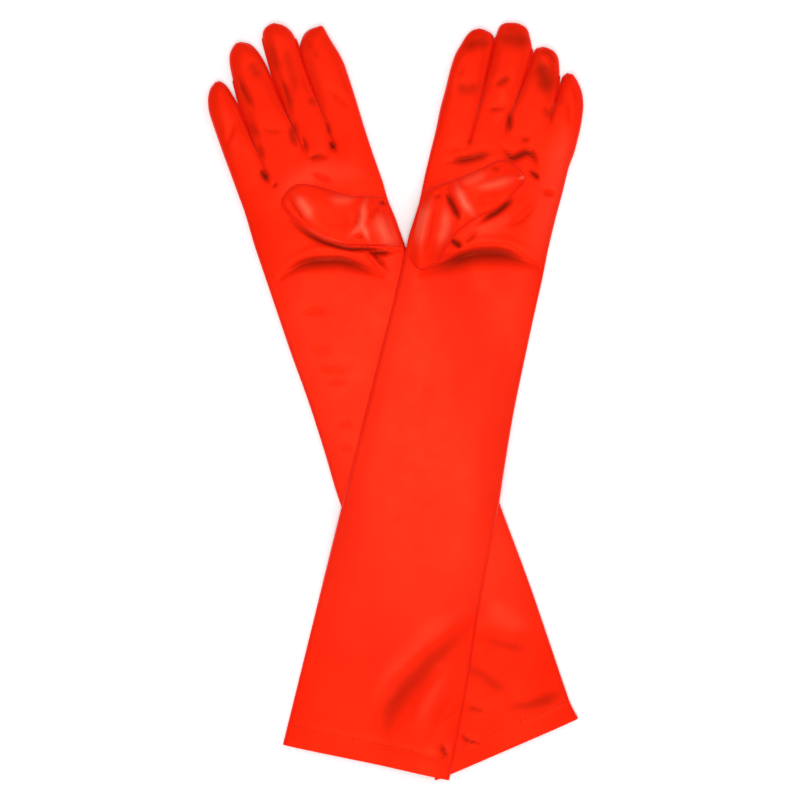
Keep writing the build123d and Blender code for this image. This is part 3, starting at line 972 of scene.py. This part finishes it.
def material_named(name):
    """One of the pair's materials, made the first time it is asked for."""
    if name in bpy.data.materials:
        return bpy.data.materials[name]
    colours = bpy.context.scene.glove_colours
    if name == "Red satin":
        return satin(name, colours.satin, colours.satin_deep)
    # the strips take deeper copies of the satin's colours: painted shade between the fingers
    if name == "Red satin side strip painted shade":
        return satin(name, colours.satin_deep, colours.strip_painted_shade)
    if name == "Red satin turned hem":
        # the hem shows the coarser wrong side of the cloth
        return satin(name, colours.hem, colours.hem_deep, weave=1.6)
    return thread(name)


# --------------------------------------------------------------------------------------
# Pieces
# --------------------------------------------------------------------------------------


class GLOVES_OT_tranks(bpy.types.Operator):
    """Add the trank of each glove: sleeve, palm and back in one cloth"""

    bl_idname = "gloves.tranks"
    bl_label = "Add Tranks"

    def execute(self, context):
        for glove in GLOVES:
            name = glove["name"]
            cloth = cloth_of(name)
            piece = shell(f"{name}_trank", both_faces(cloth.parts["trank"]),
                          context.scene.glove_sizes.cloth, material_named("Red satin"))
            start = cloth.spot(0.0, glove["wrist"] - WRIST_REACH)
            end = cloth.spot(0.0, glove["wrist"] + WRIST_REACH)
            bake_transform(piece)
            replaced = [n for n in frame["nodes"]
                        if n.startswith((f"{name}_sleeve_", f"{name}_hand_"))]
            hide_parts(*replaced)
        return {"FINISHED"}


class GLOVES_OT_fingers(bpy.types.Operator):
    """Add the four fingers of each glove"""

    bl_idname = "gloves.fingers"
    bl_label = "Add Fingers"

    def execute(self, context):
        for glove in GLOVES:
            name = glove["name"]
            cloth = cloth_of(name)
            for finger, nodes in FINGER_NODES.items():
                part = cloth.parts[finger]
                piece = shell(f"{name}_{finger}_finger", both_faces(part),
                              context.scene.glove_sizes.cloth, material_named("Red satin"))
                middle = float(np.mean(part["r"][0]))
                start, end = cloth.spot(middle, KNUCKLE_START), cloth.spot(middle, KNUCKLE_END)
                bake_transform(piece)
                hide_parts(*[f"{name}_{finger}_{n}" for n in nodes])
        return {"FINISHED"}


class GLOVES_OT_fourchettes(bpy.types.Operator):
    """Add the narrow strips sewn in between the fingers"""

    bl_idname = "gloves.fourchettes"
    bl_label = "Add Fourchettes"

    def execute(self, context):
        for glove in GLOVES:
            cloth = cloth_of(glove["name"])
            for finger, labels in FOURCHETTES.items():
                for column in cloth.parts[finger]["strips"]:
                    self.strip(context, cloth, finger, column, labels[min(column, 1)])
        return {"FINISHED"}

    def strip(self, context, cloth, finger, column, label):
        """One strip between the two faces of a finger, along one of its columns."""
        name, part = cloth.glove["name"], cloth.parts[finger]
        inward = -1 if column == 0 else 1
        rows = part["strips"][column]
        used = np.arange(np.flatnonzero(rows)[0] - 1, len(rows))
        r, v, top, low = (part[key][used, column][:, None] for key in ("r", "v", "upper", "lower"))
        across = np.linspace(0, 1, STRIP_COLUMNS)
        z = top + (low - top) * across
        # the strip bulges into half of the space before the next finger
        lines = list(cloth.glove["fingers"].values())
        number = list(cloth.glove["fingers"]).index(finger)
        beside = lines[number - 1][1] if column == 0 else lines[number + 1][0]
        space = np.where(v > beside[-1][0] - 3, 0.4, np.abs(edge(beside, v) - r))
        bulge = np.clip(0.5 * space - 0.03, 0, 0.9) * np.sin(math.pi * across)
        v = np.repeat(v, STRIP_COLUMNS, axis=1)
        points = cloth.place((r - inward * bulge).ravel(), v.ravel(), z.ravel())
        quads = grid_quads(len(used), STRIP_COLUMNS)
        outward = cloth.across * cloth.glove["side"] * -inward
        if (face_turns(points, quads) @ outward).sum() < 0:
            quads = quads[:, ::-1]
        normals = smooth_normals(points, quads, np.arange(len(points)))
        piece = shell(f"{name}_{finger}_{label}_strip",
                      [(points, normals, np.zeros(len(points)), quads)],
                      context.scene.glove_sizes.cloth * STRIP_CLOTH,
                      material_named("Red satin side strip painted shade"))
        root = float(r[0, 0])
        start, end = cloth.spot(root, KNUCKLE_START), cloth.spot(root, KNUCKLE_END)
        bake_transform(piece)
        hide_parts(f"{name}_{finger}_{label}")


class GLOVES_OT_thumbs(bpy.types.Operator):
    """Add the thumbs, folded over the palms"""

    bl_idname = "gloves.thumbs"
    bl_label = "Add Thumbs"

    def execute(self, context):
        for glove in GLOVES:
            self.thumb(context, cloth_of(glove["name"]))
        return {"FINISHED"}

    def thumb(self, context, cloth):
        """One thumb: a flattened bag of cloth along its fold over the palm."""
        glove, name = cloth.glove, cloth.glove["name"]
        height = context.scene.glove_sizes.thumb_height / MM
        upper_line, lower_line = curve(glove["thumb_upper"], 0.5), curve(glove["thumb_lower"], 0.5)
        # rows run from the root to the tip, columns from the lower line to the upper one
        s = np.sin(np.linspace(0, 1, THUMB_ROWS) * math.pi / 2) ** 0.9
        even = np.linspace(0, 1, THUMB_COLUMNS)
        t = 0.5 * (0.5 - 0.5 * np.cos(even * math.pi)) + 0.5 * even
        low, high = (np.column_stack([np.interp(s, np.linspace(0, 1, len(line)), line[:, k])
                                      for k in range(2)]) for line in (lower_line, upper_line))
        field = low[:, None, :] + (high - low)[:, None, :] * t[None, :, None]
        r, v = field[..., 0].ravel(), field[..., 1].ravel()
        gap, _, _ = nearest(np.column_stack([r, v]), np.vstack([lower_line, upper_line[::-1]]))
        palm, _, _ = cloth.height(r, v)
        # the thumb is thinner at its root, where it leaves the palm
        root = np.repeat(smooth(s, 0.0, 0.09), THUMB_COLUMNS)
        full = height * (0.45 + 0.55 * root)
        middle = palm + THUMB_GAP + THUMB_BELOW * full
        form = 0.5 * quarter_round(gap, 2.4) + 0.5 * (1 - (1 - np.clip(gap / 16, 0, 1)) ** 2)
        # the folds' height, and their painted shade and painted highlight
        rise, painted_light = fold_field(r, v, THUMB_FOLDS[name])
        top = middle + (1 - THUMB_BELOW) * full * form
        top = top + rise * smooth(gap, 0.3, 3) * (0.4 + 0.6 * root)
        base = middle - (THUMB_BELOW * full - 0.02) * quarter_round(gap, 4.5)
        top = np.maximum(top, base + 0.8 * smooth(gap, 0, 1))
        quads = grid_quads(THUMB_ROWS, THUMB_COLUMNS)
        upper, lower = cloth.place(r, v, top), cloth.place(r, v, base)
        if face_turns(upper, quads)[:, 2].sum() < 0:
            quads = quads[:, ::-1]
        points = np.vstack([upper, lower])
        faces = np.vstack([quads, quads[:, ::-1] + len(upper)])
        normals = smooth_normals(points, faces, shared(points)[1])
        piece = shell(f"{name}_thumb_bag", [(points, normals, np.append(painted_light, 0 * painted_light), faces)],
                      context.scene.glove_sizes.cloth, material_named("Red satin"))
        # two spots across a narrow band along the thumb's root
        root_r = max(point[0] for point in glove["thumb_upper"])
        start, end = cloth.spot(root_r + 0.5, THUMB_ROOT), cloth.spot(root_r - 8.0, THUMB_ROOT)
        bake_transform(piece)
        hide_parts(f"{name}_thumb_top", f"{name}_thumb_under", f"{name}_thumb_seam")


class GLOVES_OT_hems(bpy.types.Operator):
    """Add the turned hems inside the cuffs"""

    bl_idname = "gloves.hems"
    bl_label = "Add Hems"

    def execute(self, context):
        sizes = context.scene.glove_sizes
        for glove in GLOVES:
            name = glove["name"]
            cloth = cloth_of(name)
            sheets = []
            for face, order in (("top", 1), ("bottom", -1)):
                points, normals = (field[:HEM_ROWS + 1] for field in cloth.cuff_rows(face))
                set_in = points - normals * (sizes.cloth * HEM_INSET)
                set_in[0] += np.array([*(cloth.along[:2] * MOUTH_INSET), 0.0])
                quads = grid_quads(*set_in.shape[:2], flip=glove["side"] > 0)[:, ::order]
                sheets.append((set_in.reshape(-1, 3), normals.reshape(-1, 3),
                               np.zeros(set_in.size // 3), quads))
            piece = shell(f"{name}_turned_hem", sheets, sizes.cloth,
                          material_named("Red satin turned hem"))
            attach(piece, f"{name}_sleeve")
            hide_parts(f"{name}_hem_palm", f"{name}_hem_back")
        return {"FINISHED"}


class GLOVES_OT_stitching(bpy.types.Operator):
    """Add the thread of the hems"""

    bl_idname = "gloves.stitching"
    bl_label = "Add Stitching"

    def execute(self, context):
        for glove in GLOVES:
            name = glove["name"]
            for face, label in (("top", "palm"), ("bottom", "back")):
                path, outward = (field[HEM_ROWS, 1:-1] for field in cloth_of(name).cuff_rows(face))
                piece = stitches(f"{name}_hem_stitches_{label}", path, outward,
                                 context.scene.glove_sizes.stitch, material_named("Polyester thread"))
                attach(piece, f"{name}_sleeve")
        return {"FINISHED"}


class GLOVES_OT_stage(bpy.types.Operator):
    """Add the floor, the lights and the camera"""

    bl_idname = "gloves.stage"
    bl_label = "Add Studio"

    def execute(self, context):
        scene = context.scene
        bpy.ops.mesh.primitive_plane_add(size=6, location=(0, 0, 0))
        floor = context.object
        floor.name = "studio_floor"
        floor.data.materials.append(board("Matt board"))
        world = bpy.data.worlds.new("Studio")
        world.use_nodes = True
        background = world.node_tree.nodes["Background"]
        background.inputs["Color"].default_value = (1, 1, 1, 1)
        background.inputs["Strength"].default_value = WORLD_STRENGTH
        scene.world = world
        for name, (place, size, power) in LIGHTS.items():
            data = bpy.data.lights.new(name, "AREA")
            data.shape = "DISK"
            data.size = size
            data.energy = power
            lamp = bpy.data.objects.new(name, data)
            lamp.location = place
            # each lamp looks at the middle of the floor
            lamp.rotation_euler = (-Vector(place)).to_track_quat("-Z", "Y").to_euler()
            context.collection.objects.link(lamp)
        data = bpy.data.cameras.new("camera")
        data.lens = CAMERA_LENS
        data.sensor_width = CAMERA_SENSOR
        data.clip_start = 0.05
        camera = bpy.data.objects.new("camera", data)
        camera.location = CAMERA_PLACE
        context.collection.objects.link(camera)
        scene.camera = camera
        scene.view_settings.view_transform = "Standard"
        return {"FINISHED"}


class GLOVES_PT_panel(bpy.types.Panel):
    """Sidebar panel with the gloves' sizes, colours and steps"""

    bl_label = "Opera Gloves"
    bl_idname = "GLOVES_PT_panel"
    bl_space_type = "VIEW_3D"
    bl_region_type = "UI"
    bl_category = "Gloves"

    def draw(self, context):
        layout = self.layout
        for kind, group in ((GloveSizes, context.scene.glove_sizes),
                            (GloveColours, context.scene.glove_colours)):
            for name in kind.__annotations__:
                layout.prop(group, name)
        for step in STEPS:
            layout.operator(step.bl_idname)


STEPS = (GLOVES_OT_tranks, GLOVES_OT_fingers, GLOVES_OT_fourchettes, GLOVES_OT_thumbs,
         GLOVES_OT_hems, GLOVES_OT_stitching, GLOVES_OT_stage)
CLASSES = (GloveSizes, GloveColours, *STEPS, GLOVES_PT_panel)


def register():
    for one in CLASSES:
        bpy.utils.register_class(one)
    bpy.types.Scene.glove_sizes = bpy.props.PointerProperty(type=GloveSizes)
    bpy.types.Scene.glove_colours = bpy.props.PointerProperty(type=GloveColours)


def unregister():
    del bpy.types.Scene.glove_colours
    del bpy.types.Scene.glove_sizes
    for one in reversed(CLASSES):
        bpy.utils.unregister_class(one)


def main():
    register()
    bpy.ops.gloves.tranks()
    bpy.ops.gloves.fingers()
    bpy.ops.gloves.fourchettes()
    bpy.ops.gloves.thumbs()
    bpy.ops.gloves.hems()
    bpy.ops.gloves.stitching()
    bpy.ops.gloves.stage()


if __name__ == "__main__":
    main()
